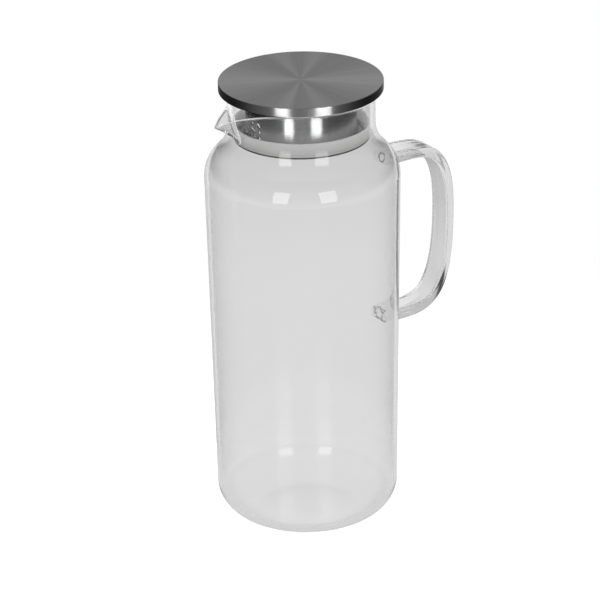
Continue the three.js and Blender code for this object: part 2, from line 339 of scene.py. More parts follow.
def glass_body(material):
    """The glass outline turned about Z, with the spout pulled out of the neck."""
    grid = revolved(glass_profile(), spout_angles(BODY_COLUMNS, SPOUT_CROWDING), pull_spout)
    return mesh_object("carafe_body", *capped_grid(grid), material)


# Strap handle

def bezier(points, count):
    """Points of a cubic curve from the first of four points to the last, without its last point.

    The middle two pull on it: the weights are the terms of (1 - t) + t cubed, for t from 0 to 1.
    """
    t = np.linspace(0, 1, count, endpoint=False)[:, None]
    a, b, c, d = (np.array(p, float) for p in points)
    return (1 - t) ** 3 * a + 3 * (1 - t) ** 2 * t * b + 3 * (1 - t) * t ** 2 * c + t ** 3 * d


def handle_path():
    """Middle line of the strap in X and Z: upper arm, bend, grip with its lower sweep, lower arm."""
    top = SHOULDER_START - HANDLE_SHOULDER_DROP
    bottom = top - HANDLE_HEIGHT
    grip = top - GRIP_DROP
    out = wall_radius(grip) + HANDLE_REACH
    upper = wall_radius(top) + UPPER_ARM
    lower = wall_radius(bottom) + LOWER_ARM
    return np.concatenate([
        line((wall_radius(top), top), (upper, top), UPPER_ARM_STEPS),
        bezier([(upper, top), (upper + UPPER_BEND_OUT, top),
                (out, grip + UPPER_BEND_UP), (out, grip)], UPPER_BEND_STEPS),
        bezier([(out, grip), (out, grip - LOWER_SWEEP),
                (lower + LOWER_BEND_OUT, bottom), (lower, bottom)], LOWER_BEND_STEPS),
        np.linspace((lower, bottom), (wall_radius(bottom), bottom), LOWER_ARM_STEPS),
    ])


def strap_section():
    """Signs and turns once round an oblong grown by a circle: four quarter turns and their flats.

    A point of the section lies at sign * (half size - edge) + edge * (cosine or sine of the turn).
    """
    corners = np.array([(1, 1), (-1, 1), (-1, -1), (1, -1)], float)
    quarter = np.linspace(0, 90, STRAP_EDGE_STEPS)
    flat = np.linspace(0, 1, STRAP_FLAT_STEPS)[1:-1, None]
    flat = 0.5 - 0.5 * np.cos(math.pi * flat)
    signs, turns = [], []
    for k in range(4):
        to_next = corners[(k + 1) % 4] - corners[k]
        signs += [np.tile(corners[k], (len(quarter), 1)), corners[k] + to_next * flat]
        turns += [90 * k + quarter, np.full(len(flat), 90 * (k + 1.0))]
    return np.concatenate(signs), np.radians(np.concatenate(turns))


def glass_handle(material):
    """A flat strap with rounded edges carried along its middle line, thicker by a bell curve at
    each of its roots.

    Both end rings, and the patches that close them, lie on the wall of the body at the weld's gap.
    """
    path = handle_path()
    walked = np.concatenate([[0], np.cumsum(np.linalg.norm(np.diff(path, axis=0), axis=1))])
    station = np.linspace(0, walked[-1], STRAP_ROWS)
    x, z = (np.interp(station, walked, path[:, k]) for k in (0, 1))
    dx, dz = np.gradient(x, station), np.gradient(z, station)
    size = np.hypot(dx, dz)
    across = np.stack([dz / size, np.zeros_like(x), -dx / size], -1)
    upper = UPPER_FLARE * np.exp(-(station / FLARE_LENGTH) ** 2)
    lower = LOWER_FLARE * np.exp(-((walked[-1] - station) / FLARE_LENGTH) ** 2)
    half_thickness = (HANDLE_THICKNESS + upper + lower) / 2
    signs, turns = strap_section()
    out = (half_thickness[:, None] - HANDLE_EDGE) * signs[None, :, 0] + HANDLE_EDGE * np.cos(turns)
    side = (HANDLE_WIDTH / 2 - HANDLE_EDGE) * signs[:, 1] + HANDLE_EDGE * np.sin(turns)
    centre = np.stack([x, np.zeros_like(x), z], -1)
    grid = centre[:, None] + across[:, None] * out[:, :, None]
    grid[:, :, 1] += side
    wall = np.sqrt((wall_radius(grid[:, :, 2]) + WELD_GAP) ** 2 - grid[:, :, 1] ** 2)
    grid[:, :, 0] = np.maximum(grid[:, :, 0], wall)
    shares = np.linspace(0.98, 0.02, ROOT_RINGS)[:, None, None]

    def patch(ring, middle):
        """Rings from an end ring in to its middle, laid on the wall."""
        rows = middle + (ring - middle) * shares
        rows[:, :, 0] = np.sqrt((wall_radius(rows[:, :, 2]) + WELD_GAP) ** 2 - rows[:, :, 1] ** 2)
        return rows

    def pole(middle):
        """The middle of an end, laid on the wall."""
        return np.tile([wall_radius(middle[2]) + WELD_GAP, 0.0, middle[2]], (1, len(turns), 1))

    first, last = grid[0].mean(0), grid[-1].mean(0)
    whole = np.concatenate([
        pole(first), patch(grid[0], first)[::-1], grid, patch(grid[-1], last), pole(last),
    ])
    return mesh_object("carafe_handle", *capped_grid(whole), material)


# Lid

def lid_cap(material):
    """A shallow drawn cup: flat top, small rounded edge, straight skirt and its inside."""
    inner_top = TOTAL_HEIGHT - LID_SHEET
    skirt = LID_RADIUS - LID_SHEET
    profile = np.concatenate([
        [[0.0, inner_top]],
        [[skirt / 2, inner_top], [skirt - CUP_CORNER, inner_top], [skirt, inner_top - CUP_CORNER]],
        [[skirt, LID_UNDER + SKIRT_BEVEL], [skirt + SKIRT_BEVEL, LID_UNDER]],
        arc((LID_RADIUS - LID_EDGE, LID_UNDER + LID_EDGE), LID_EDGE, -90, 0, 7),
        line((LID_RADIUS, LID_UNDER + LID_EDGE + PAST_ARC), (LID_RADIUS, TOTAL_HEIGHT - LID_EDGE), 6),
        arc((LID_RADIUS - LID_EDGE, TOTAL_HEIGHT - LID_EDGE), LID_EDGE, 0, 90, 7),
        np.linspace((LID_RADIUS - LID_EDGE - PAST_ARC, TOTAL_HEIGHT), (0.0, TOTAL_HEIGHT), 24),
    ])
    grid = revolved(profile, even_angles(LID_COLUMNS))
    return mesh_object("lid_disc", *capped_grid(grid), material)


def lid_plate(material):
    """A flat round plate that closes the cup from below, with softened edges."""
    radius = LID_RADIUS - LID_SHEET - CLEARANCE
    edge = SHEET_EDGE
    top = LID_UNDER + PLATE_SHEET
    profile = np.concatenate([
        line((0.0, LID_UNDER), (radius - edge, LID_UNDER), 16),
        arc((radius - edge, LID_UNDER + edge), edge, -90, 0, 5),
        arc((radius - edge, top - edge), edge, 0, 90, 5),
        np.linspace((radius - edge - PAST_ARC, top), (0.0, top), 4),
    ])
    grid = revolved(profile, even_angles(PLATE_COLUMNS))
    return mesh_object("lid_closing_plate", *capped_grid(grid), material)


def sleeve_outline():
    """Outline of the sleeve without its two walls: foot with its bend below, welding flange above.

    The foot runs from the inner wall to the outer one, and the flange back to the inner one.
    """
    top = LID_UNDER - CLEARANCE
    bore = SLEEVE_BORE - SLEEVE_FLANGE
    bend = (SLEEVE_RADIUS + SLEEVE_BEND, FOOT_TOP + SLEEVE_BEND)
    edge = SHEET_EDGE
    foot = np.concatenate([
        arc(bend, SLEEVE_BEND + SLEEVE_SHEET, 180, 270, 9),
        arc((FOOT_RADIUS - edge, FOOT_UNDER + edge), edge, -90, 0, 4),
        arc((FOOT_RADIUS - edge, FOOT_TOP - edge), edge, 0, 90, 4),
        arc(bend, SLEEVE_BEND, 270, 180, 9),
    ])
    flange = np.concatenate([
        arc((SLEEVE_RADIUS - edge, top - edge), edge, 0, 90, 4),
        line((SLEEVE_RADIUS - 3 * edge, top), (bore, top), 4),
        [[bore, top], [bore, top - SLEEVE_SHEET]],
        line((bore + edge, top - SLEEVE_SHEET), (SLEEVE_BORE - edge, top - SLEEVE_SHEET), 4),
        arc((SLEEVE_BORE - edge, top - SLEEVE_SHEET - edge), edge, 90, 0, 4),
    ])
    return foot, flange


def sheet_quads(rows, columns):
    """Quads of an open grid of points."""
    i, j = np.meshgrid(np.arange(rows - 1), np.arange(columns - 1), indexing="ij")
    first = i * columns + j
    return np.stack([first, first + 1, first + columns + 1, first + columns], -1).reshape(-1, 4)


def hole_cell(count):
    """Rings of offsets round one hole: its circle, turning into the oblong of its cell.

    Each ring has its share of the way out. The offsets run along the wall and up.
    """
    side = np.linspace(-1, 1, count, endpoint=False)
    one = np.ones(count)
    square = np.concatenate([np.stack([side, -one], -1), np.stack([one, side], -1),
                             np.stack([-side, one], -1), np.stack([-one, -side], -1)])
    cell = square * (HOLE_PITCH_ANGLE * SLEEVE_RADIUS / 2, HOLE_PITCH_HEIGHT / 2)
    circle = HOLE_RADIUS * cell / np.linalg.norm(cell, axis=1, keepdims=True)
    share = np.linspace(0, 1, HOLE_RINGS)[:, None, None]
    return circle + (cell - circle) * share


def strainer_sleeve(material):
    """The sleeve's outline turned about Z, its walls pierced by the strainer's field of holes.

    Round the field both walls are even grids. In the field each hole has its own rings of points, on
    the outer wall, on the inner wall and through the sheet, and shared points are merged at the end.
    """
    steps = HOLE_STEPS
    columns = round(TAU / HOLE_PITCH_ANGLE * steps)
    from_middle = (np.arange(columns) - HOLE_COLUMNS * steps / 2) * HOLE_PITCH_ANGLE / steps
    angles = math.pi + LID_TURN + from_middle
    foot, flange = sleeve_outline()
    field_low = FOOT_TOP + HOLE_ABOVE_FOOT - HOLE_PITCH_HEIGHT / 2
    field_high = field_low + HOLE_ROWS * HOLE_PITCH_HEIGHT
    field = np.linspace(field_low, field_high, HOLE_ROWS * steps + 1)
    parts = []

    def add(points, quads):
        """Keeps a part of the sleeve."""
        parts.append((points.reshape(-1, 3), quads))

    def strip(profile, turns=angles, closed=True):
        """Adds a profile turned through the angles, once round or in part."""
        grid = revolved(np.asarray(profile), turns)
        add(grid, ring_quads(*grid.shape[:2]) if closed else sheet_quads(*grid.shape[:2]))

    outer_low = np.linspace(foot[-1], (SLEEVE_RADIUS, field_low), 4)
    outer_high = np.linspace((SLEEVE_RADIUS, field_high), flange[0], 5)
    inner_high = np.linspace(flange[-1], (SLEEVE_BORE, field_high), 5)
    inner_low = np.linspace((SLEEVE_BORE, field_low), foot[0], 4)
    strip(np.concatenate([inner_low, foot[1:-1], outer_low]))
    strip(np.concatenate([outer_high, flange[1:-1], inner_high]))
    rest = np.concatenate([angles[HOLE_COLUMNS * steps:], angles[:1] + TAU])
    strip(np.stack([np.full(len(field), SLEEVE_RADIUS), field], -1), rest, False)
    strip(np.stack([np.full(len(field), SLEEVE_BORE), field[::-1]], -1), rest, False)

    offsets = hole_cell(steps)
    row, column = np.meshgrid(np.arange(HOLE_ROWS), np.arange(HOLE_COLUMNS), indexing="ij")
    middle_turn = angles[0] + (column.ravel() + 0.5) * HOLE_PITCH_ANGLE
    middle_height = field_low + (row.ravel() + 0.5) * HOLE_PITCH_HEIGHT
    turn = middle_turn[:, None, None] + offsets[None, :, :, 0] / SLEEVE_RADIUS
    height = middle_height[:, None, None] + offsets[None, :, :, 1]
    rounds = offsets.shape[1]
    for radius, flip in ((SLEEVE_RADIUS, False), (SLEEVE_BORE, True)):
        cells = np.stack([radius * np.cos(turn), radius * np.sin(turn), height], -1)
        quads = ring_quads(offsets.shape[0], rounds)
        shift = np.arange(len(cells))[:, None, None] * offsets.shape[0] * rounds
        every = (quads[None] + shift).reshape(-1, 4)
        add(cells, every if flip else every[:, ::-1])
    through = np.linspace(SLEEVE_BORE, SLEEVE_RADIUS, HOLE_LAYERS)[None, :, None]
    edge_turn, edge_height = turn[:, :1], height[:, :1]
    walls = np.stack([through * np.cos(edge_turn), through * np.sin(edge_turn),
                      np.broadcast_to(edge_height, (len(turn), HOLE_LAYERS, rounds))], -1)
    quads = ring_quads(HOLE_LAYERS, rounds)
    shift = np.arange(len(walls))[:, None, None] * HOLE_LAYERS * rounds
    add(walls, (quads[None] + shift).reshape(-1, 4)[:, ::-1])

    starts = np.cumsum([0] + [len(points) for points, _ in parts])
    points = np.concatenate([p for p, _ in parts])
    quads = np.concatenate([q + start for (_, q), start in zip(parts, starts)])
    _, kept, same = np.unique(np.round(points, 4), axis=0, return_index=True, return_inverse=True)
    return mesh_object("lid_strainer", points[kept], same.ravel()[quads], NO_TRIANGLES, material)


def lip_seal(material):
    """A silicone ring: a groove round the sleeve's foot and a thin lip that leans out to the neck.

    The lip bends by a square curve: its lean is twice the bow times rise times (1 - rise), plus
    the rise squared.
    """
    groove = FOOT_RADIUS + CLEARANCE
    outside = groove + SEAL_WALL
    low, high = FOOT_UNDER - CLEARANCE, FOOT_TOP + CLEARANCE
    under = SEAL_UNDER
    bead_top = high + SEAL_BEAD_HEIGHT
    bead_bore = FOOT_RADIUS - SEAL_BEAD_REACH
    base_bore = FOOT_RADIUS - SEAL_FOOT_LAP
    lip_top = bead_top + SEAL_LIP_HEIGHT
    reach = NECK_BORE - CLEARANCE
    rise = np.linspace(0, 1, SEAL_LIP_STEPS)[:, None]
    lean = 2 * SEAL_LIP_BOW * rise * (1 - rise) + rise ** 2
    outer_lip = np.concatenate([outside + (reach - outside) * lean,
                                bead_top + (lip_top - SEAL_EDGE - bead_top) * rise], 1)
    tip = reach - SEAL_LIP_TIP
    inner_lip = np.concatenate([groove + (tip - groove) * lean,
                                bead_top + (lip_top - bead_top) * rise], 1)
    profile = np.concatenate([
        [[base_bore, under]],
        line((base_bore + SEAL_EDGE / 2, under), (outside - SEAL_EDGE, under), 5),
        arc((outside - SEAL_EDGE, under + SEAL_EDGE), SEAL_EDGE, -90, 0, 6),
        line((outside, under + SEAL_EDGE + SEAL_EDGE / 4), (outside, bead_top), 6),
        outer_lip,
        arc((reach - SEAL_EDGE, lip_top - SEAL_EDGE), SEAL_EDGE, 15, 90, 5),
        inner_lip[::-1],
        [[groove - SEAL_EDGE, bead_top], [bead_bore, bead_top], [bead_bore, high], [groove, high]],
        [[groove, low], [base_bore, low]],
    ])
    grid = revolved(profile, even_angles(SEAL_COLUMNS))
    return mesh_object("lid_lip_seal", *ring_grid(grid), material)


# Materials

GLASS_IOR = 1.47
BODY_TINT = (0.878, 0.878, 0.878, 1)
STRAP_TINT = (0.675, 0.675, 0.675, 1)
ROOT_TINT = (0.97, 0.97, 0.97, 1)
BODY_RIPPLE = 24.0
STRAP_RIPPLE = 40.0
RIPPLE_STRENGTH = 0.06
RIPPLE_DEPTH = 0.4
PASSED_LIGHT = 0.95
TURNS_LET_OUT = 7.5
# Fused roots of the strap: their length, and the clear layer that calms the strap beside them
ROOT_LENGTH = 18.0
THROUGH_BODY = 3.5
CALM_SHARE = 0.4
CALM_START, CALM_END = 14.0, 28.0
CALM_CLEAR, CALM_CLEAR_EDGE, CALM_EDGE_FROM = 0.85, 0.5, 0.7
# Seam of a root: a ring round its middle, larger and rougher at the lower root
SEAM_GRAIN = 420.0
SEAM_DARK = 0.6
SEAM_ON_WALL = 0.6
SEAM_INSIDE = (2.4, 3.2)
SEAM_OUTSIDE = (3.4, 4.4)
LOWER_SEAM_SHRINK = 0.72
LOWER_SEAM_ROUGH, UPPER_SEAM_ROUGH = 9.0, 2.4
BETWEEN_ROOTS = (140.0, 170.0)

STEEL = (0.55, 0.55, 0.555, 1)
LID_ROUGHNESS = 0.32
SLEEVE_ROUGHNESS = 0.24
RING_GRAIN = 1800.0
RING_TONE = (0.94, 1.06)
RING_ROUGHNESS = (0.85, 1.15)
STREAK_GRAIN = 9.0
STREAK_NOISE = (0.3, 0.7)
STREAK_TONE = (0.95, 1.05)
# Painted shade on the sleeve's inside: the share of its colour left, and the distances past the bore,
# in mm, over which it fades back to full
INSIDE_PAINTED_SHADE = 0.2
INSIDE_SHADE_EDGE = (0.5, 0.86)

SILICONE_IOR = 1.41
SILICONE_DEPTH = 6.0
SILICONE_WARMTH = 0.99
SILICONE_ROUGHNESS = (0.38, 0.55)
BLOOM_GRAIN = 350.0
# Painted shade on the seal by the height above its underside: near black along the bottom edge, which
# lies in shade, a darker band 2.5 mm up, and lighter towards the top of the lip
SEAL_SPAN = 10.0
SEAL_PAINTED_SHADES = ((0.0, 0.06), (0.95, 0.07), (1.35, 0.53), (2.2, 0.58), (2.5, 0.42), (2.8, 0.59),
               (SEAL_SPAN, 0.8))


class Wiring:
    """Adds nodes to an emptied node tree and wires them up."""

    def __init__(self, tree):
        tree.nodes.clear()
        self.tree = tree

    def node(self, kind, inputs=(), **settings):
        """A new node with its settings made, and its inputs linked or set to plain values."""
        made = self.tree.nodes.new("ShaderNode" + kind)
        for setting, value in settings.items():
            setattr(made, setting, value)
        for key, value in dict(inputs).items():
            if isinstance(value, bpy.types.NodeSocket):
                self.tree.links.new(value, made.inputs[key])
            else:
                made.inputs[key].default_value = value
        return made

    def math(self, operation, *values):
        """Result of a sum on sockets and plain numbers."""
        return self.node("Math", enumerate(values), operation=operation).outputs[0]

    def times(self, first, second):
        """Product of two values."""
        return self.math("MULTIPLY", first, second)

    def larger(self, *values):
        """The largest of the values."""
        most = values[0]
        for value in values[1:]:
            most = self.math("MAXIMUM", most, value)
        return most

    def is_number(self, value, number, within=0.5):
        """1 where the value is the number, and 0 elsewhere."""
        return self.math("COMPARE", value, number, within)

    def scaled(self, value, under, over, low=0.0, high=1.0, blend="LINEAR"):
        """The value carried from low and high to under and over, and held at both ends."""
        names = ("Value", "From Min", "From Max", "To Min", "To Max")
        inputs = zip(names, (value, low, high, under, over))
        return self.node("MapRange", inputs, interpolation_type=blend).outputs[0]

    def eased(self, value, low, high, under, over):
        """The first shade below the low value, easing to the second above the high one."""
        return self.scaled(value, under, over, low, high, "SMOOTHSTEP")

    def noise(self, place, grain, detail=2.0):
        """A soft uneven pattern over the place."""
        inputs = {"Vector": place, "Scale": grain, "Detail": detail}
        return self.node("TexNoise", inputs).outputs["Fac"]

    def ramp(self, value, stops):
        """A colour over the value, straight between (place, colour) stops from 0 to 1."""
        made = self.node("ValToRGB", {0: value})
        marks = made.color_ramp.elements
        marks[0].color, marks[1].color = stops[0][1], stops[-1][1]
        for place, colour in stops[1:-1]:
            marks.new(place).color = colour
        return made.outputs["Color"]

    def split(self, vector):
        """The X, Y and Z of a vector."""
        return self.node("SeparateXYZ", {0: vector}).outputs

    def joined(self, x, y):
        """A vector of two values."""
        return self.node("CombineXYZ", {"X": x, "Y": y}).outputs[0]

    def length(self, vector):
        """Length of a vector."""
        return self.node("VectorMath", {0: vector}, operation="LENGTH").outputs["Value"]

    def unit(self, vector):
        """The vector's direction."""
        return self.node("VectorMath", {0: vector}, operation="NORMALIZE").outputs["Vector"]

    def mixed(self, factor, first, second):
        """The first shader where the factor is 0, and the second where it is 1."""
        return self.node("MixShader", {0: factor, 1: first, 2: second}).outputs[0]

    def coloured(self, blend, factor, first, second):
        """Two colours blended by the factor."""
        inputs = {"Factor": factor, "A": first, "B": second}
        made = self.node("Mix", data_type="RGBA", blend_type=blend, inputs=inputs)
        return made.outputs["Result"]


def new_material(name):
    """An empty material and its wiring."""
    material = bpy.data.materials.new(name)
    material.use_nodes = True
    return material, Wiring(material.node_tree)


def root_seam(nodes, place, y, z):
    """A broken ring round the middle of each root of the strap, 1 on the ring and 0 off it."""
    top = SHOULDER_START - HANDLE_SHOULDER_DROP
    off_upper, off_lower = (nodes.math("ABSOLUTE", nodes.math("SUBTRACT", z, root * MM))
                            for root in (top, top - HANDLE_HEIGHT))
    off_middle = nodes.math("MINIMUM", off_upper, off_lower)
    squares = nodes.math("ADD", nodes.times(y, y), nodes.times(off_middle, off_middle))
    low, high = (height * MM for height in BETWEEN_ROOTS)
    from_middle = nodes.times(nodes.math("POWER", squares, 0.5),
                              nodes.eased(z, low, high, LOWER_SEAM_SHRINK, 1))
    rough = nodes.eased(z, low, high, LOWER_SEAM_ROUGH * MM, UPPER_SEAM_ROUGH * MM)
    shift = nodes.times(nodes.math("SUBTRACT", nodes.noise(place, SEAM_GRAIN), 0.5), rough)
    uneven = nodes.math("ADD", from_middle, shift)
    inside, outside = ([limit * MM for limit in limits] for limits in (SEAM_INSIDE, SEAM_OUTSIDE))
    return nodes.times(nodes.eased(uneven, *inside, 0, 1), nodes.eased(uneven, *outside, 1, 0))


def glass_finish(name, tint, ripple, root_tint=None):
    """Clear blown glass: polished, faintly grey, with a slow ripple, and open to the lamps.

    Light that has been turned back inside it eight times is let out, as from real glass in the
    end. A root tint is for the strap: it clears the glass towards the wall that it is fused to.
    Seen through the body, the fused roots have no faces of their own, only a broken seam round
    the middle of each, and beside the roots a clear layer calms the strap.
    """
    material, nodes = new_material(name)
    place = nodes.node("TexCoord").outputs["Object"]
    path = nodes.node("LightPath").outputs
    bump = nodes.node("Bump", {
        "Strength": RIPPLE_STRENGTH, "Distance": RIPPLE_DEPTH * MM,
        "Height": nodes.noise(place, ripple, 1.0),
    })
    let_out = nodes.math("GREATER_THAN", path["Glossy Depth"], TURNS_LET_OUT)
    in_mirror = nodes.times(nodes.is_number(path["Glossy Depth"], 1),
                            nodes.is_number(path["Transmission Depth"], 0))
    passes = nodes.larger(path["Is Shadow Ray"], let_out, in_mirror)
    clear = (PASSED_LIGHT, PASSED_LIGHT, PASSED_LIGHT, 1)
    if root_tint:
        x, y, z = nodes.split(place)
        arm_end, outside = ((BASE_RADIUS + reach) * MM for reach in (UPPER_ARM, HANDLE_REACH))
        tint = nodes.coloured("MIX", nodes.eased(x, arm_end, outside, 0, 1), root_tint, tint)
        fused = nodes.times(nodes.math("LESS_THAN", x, (SHOULDER_RADIUS + ROOT_LENGTH) * MM),
                            nodes.math("GREATER_THAN", path["Transmission Depth"], THROUGH_BODY))
        calm = nodes.eased(x, (SHOULDER_RADIUS + CALM_START) * MM, (SHOULDER_RADIUS + CALM_END) * MM,
                           CALM_SHARE, 0)
        passes = nodes.larger(passes, fused, calm)
        at_wall = nodes.math("LESS_THAN", x, (SHOULDER_RADIUS + SEAM_ON_WALL) * MM)
        seam = nodes.times(nodes.times(root_seam(nodes, place, y, z), at_wall), fused)
        facing = nodes.node("LayerWeight").outputs["Facing"]
        veil = nodes.larger(
            nodes.eased(facing, CALM_EDGE_FROM, 1.0, CALM_CLEAR, CALM_CLEAR_EDGE),
            nodes.times(nodes.larger(fused, path["Is Shadow Ray"]), PASSED_LIGHT))
        clear = nodes.math("MULTIPLY_ADD", seam, -SEAM_DARK, veil)
    polished = nodes.node("BsdfPrincipled", {
        "Base Color": tint, "Roughness": 0.0, "IOR": GLASS_IOR, "Transmission Weight": 1.0,
        "Normal": bump.outputs[0],
    })
    open_glass = nodes.node("BsdfTransparent", {"Color": clear})
    nodes.node("OutputMaterial", {
        "Surface": nodes.mixed(passes, polished.outputs[0], open_glass.outputs[0])})
    return material


def steel_finish(name, roughness, shaded_inside_radius=None):
    """Turned stainless steel: fine rings about Z in colour and roughness, faint streaks across
    them, stretched highlights, and painted shade that darkens the inside within the given radius."""
    material, nodes = new_material(name)
    place = nodes.node("TexCoord").outputs["Object"]
    x, y, z = nodes.split(place)
    across = nodes.joined(x, y)
    radius = nodes.length(across)
    rings = nodes.noise(nodes.joined(radius, z), RING_GRAIN, 3.0)
    streaks = nodes.noise(nodes.unit(across), STREAK_GRAIN, 3.0)
    tones = [nodes.scaled(rings, *RING_TONE), nodes.scaled(streaks, *STREAK_TONE, *STREAK_NOISE)]
    # Painted shade: within the radius the steel's colour is darkened to a fifth
    if shaded_inside_radius:
        low, high = ((shaded_inside_radius + edge) * MM for edge in INSIDE_SHADE_EDGE)
        tones.append(nodes.scaled(radius, INSIDE_PAINTED_SHADE, 1.0, low, high))
    colour = STEEL
    for tone in tones:
        colour = nodes.coloured("MULTIPLY", 1.0, colour, tone)
    tangent = nodes.node("Tangent", direction_type="RADIAL", axis="Z")
    shader = nodes.node("BsdfPrincipled", {
        "Base Color": colour, "Metallic": 1.0,
        "Roughness": nodes.scaled(rings, *(roughness * share for share in RING_ROUGHNESS)),
        "Anisotropic": 1.0, "Anisotropic Rotation": 0.25, "Tangent": tangent.outputs[0],
    })
    nodes.node("OutputMaterial", {"Surface": shader.outputs[0]})
    return material


def silicone_finish(name):
    """Milky translucent silicone with a fine bloom, with painted shade by the height above its
    underside: a near black bottom edge and lighter towards the lip.
    """
    material, nodes = new_material(name)
    place = nodes.node("TexCoord").outputs["Object"]
    _, _, z = nodes.split(place)
    share = nodes.scaled(z, 0.0, 1.0, SEAL_UNDER * MM, (SEAL_UNDER + SEAL_SPAN) * MM)
    shader = nodes.node("BsdfPrincipled", {
        # Base colour: painted shade by height, near black along the bottom edge
        "Base Color": nodes.ramp(share, [
            (height / SEAL_SPAN, (shade, shade, shade * SILICONE_WARMTH, 1))
            for height, shade in SEAL_PAINTED_SHADES]),
        "Roughness": nodes.scaled(nodes.noise(place, BLOOM_GRAIN, 4.0), *SILICONE_ROUGHNESS),
        "IOR": SILICONE_IOR, "Subsurface Weight": 1.0,
        "Subsurface Scale": SILICONE_DEPTH * MM, "Subsurface Radius": (1, 1, 1),
    })
    nodes.node("OutputMaterial", {"Surface": shader.outputs[0]})
    return material


# Pieces on their bodies

clear_glass = glass_finish("clear_glass", BODY_TINT, BODY_RIPPLE)
handle_glass = glass_finish("handle_glass", STRAP_TINT, STRAP_RIPPLE, ROOT_TINT)
turned_steel = steel_finish("turned_steel", LID_ROUGHNESS)
# The sleeve's steel gets painted shade inside its bore
satin_steel = steel_finish("satin_steel", SLEEVE_ROUGHNESS, SLEEVE_BORE)
silicone = silicone_finish("milky_silicone")

pieces = {}
for piece, body, node_name, slot in (
    (glass_body(clear_glass), "glass", "glass_body", "glass"),
    (glass_handle(handle_glass), "glass", "glass_handle", "glass"),
    (lid_cap(turned_steel), "lid", "lid_cap", "lid_steel"),
    (lid_plate(turned_steel), "lid", "lid_plate", "lid_steel"),
    (strainer_sleeve(satin_steel), "lid", "strainer_sleeve", "sleeve_steel"),
    (lip_seal(silicone), "seal", "lip_seal", "silicone"),
):
    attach(piece, body)
    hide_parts(node_name)
    pieces[node_name] = piece


# Camera, floor and light, in metres

VIEW_TURN = math.radians(-33)
CAMERA_DISTANCE = 2.6
CAMERA_HEIGHT = 1.228516
CAMERA_PITCH = math.radians(22.861)
CAMERA_YAW = math.radians(-0.057)
CAMERA_ROLL = math.radians(-0.996)
SENSOR_WIDTH = 36
PICTURE_WIDTH = 600
FOCAL_PIXELS = 4881.776

TABLE_RADIUS = 0.45
TABLE_COLUMNS, TABLE_ROWS = 128, 24
TABLE_COLOUR = (0.75, 0.75, 0.75, 1)
TABLE_GLOW = 0.62
TABLE_THROUGH_GLASS = 1.12
TABLE_MIRRORED = 0.78
TABLE_POLISH = 0.12
POLISH_ROUGHNESS = 0.12
# The table fades out from the first radius to the second, or to the third for mirrored rays
FADE_START = 0.08
FADE_END = TABLE_RADIUS * 0.95
MIRRORED_FADE_END = 0.14

# Brightness of the room by the turn from the camera's side, in degrees
ROOM_TURN = math.radians(-4)
LOW_ROOM = ((180, 0.42), (163, 0.36), (157, 0.13), (150, 0.05), (140, 0.02), (120, 0.008),
            (100, 0.006), (80, 0.045), (66, 0.11), (45, 0.15), (0, 0.25))
MIDDLE_ROOM = ((180, 0.42), (163, 0.4), (154, 0.24), (143, 0.05), (120, 0.015), (100, 0.01),
               (70, 0.045), (40, 0.15), (0, 0.22))
HIGH_ROOM = ((180, 0.34), (160, 0.42), (150, 0.44), (143, 0.32), (136, 0.08), (125, 0.03),
             (100, 0.05), (60, 0.26), (0, 0.34))
LOW_BANDS = ((180, 0.0), (36, 0.0), (32, 0.5), (17, 0.5), (13, 0.0), (0, 0.0))
SLEEVE_ROOM = ((180, 0.3), (150, 0.03), (120, 0.004), (90, 0.01), (60, 0.08), (35, 0.26), (0, 0.42))
GLASS_ROOM = ((180, 1.1), (120, 1.1), (95, 1.04), (70, 0.8), (45, 0.56), (0, 0.45))
CEILING = 0.17
AMBIENT = 0.85
# Lifts, in degrees, over which one part of the room gives way to the next
LOW_TO_MIDDLE = (-5, 8)
MIDDLE_TO_HIGH = (20, 32)
HIGH_TO_CEILING = (58, 76)
BANDS_TOP = (-26.3, -25.2)
# Behind clear glass: the white sweep, greyer above its first bend
THROUGH_GLASS = 0.99
SWEEP_BEND = (-22.8, -20.5)
ABOVE_BEND = 0.87
# Turned back in glass: a dark gap over the sweep, and a ceiling that keeps a part of the dark
SWEEP_TOP = (-9, 1)
CEILING_FOOT = (10, 24)
GAP_SHADE = 0.08
CEILING_DARK = 0.4

# Lamps: side, turn from the camera in degrees, width
LAMP_AIM = (0, 0, 0.2)
LAMP_DISTANCE = 1.6
LAMP_SIDES = (("left", -25.5, 0.5), ("right", 30.0, 0.56))
# What they light, None for everything; lift in degrees, height, and the power of each side
LAMP_PAIRS = (
    ("softbox", None, 14.5, 1.01, (4.0, 4.2)),
    ("lid_cap_strip", "lid_cap", -5.0, 0.98, (3.5, 4.5)),
    ("strainer_sleeve_strip", "strainer_sleeve", -13.0, 0.98, (6.4, 7.4)),
)


def from_view(vector):
    """Turns a direction of the picture, X to the right and Y away from the camera, to the part."""
    return Matrix.Rotation(VIEW_TURN, 3, "Z") @ Vector(vector)


def add_camera():
    """The photograph's camera: looking ahead and down by its yaw and pitch, and rolled a little."""
    forward = Vector((math.sin(CAMERA_YAW) * math.cos(CAMERA_PITCH),
                      math.cos(CAMERA_YAW) * math.cos(CAMERA_PITCH), -math.sin(CAMERA_PITCH)))
    right = forward.cross(Vector((0, 0, 1))).normalized()
    up = right.cross(forward)
    rolled_right = right * math.cos(CAMERA_ROLL) + up * math.sin(CAMERA_ROLL)
    rolled_up = up * math.cos(CAMERA_ROLL) - right * math.sin(CAMERA_ROLL)
    axes = Matrix([from_view(axis) for axis in (rolled_right, rolled_up, -forward)]).transposed()
    place = from_view((0, -CAMERA_DISTANCE, CAMERA_HEIGHT))
    data = bpy.data.cameras.new("view")
    data.sensor_width = SENSOR_WIDTH
    data.lens = SENSOR_WIDTH * FOCAL_PIXELS / PICTURE_WIDTH
    data.clip_end = 50
    camera = bpy.data.objects.new("view", data)
    camera.matrix_world = Matrix.Translation(place) @ axes.to_4x4()
    bpy.context.scene.collection.objects.link(camera)
    bpy.context.scene.camera = camera


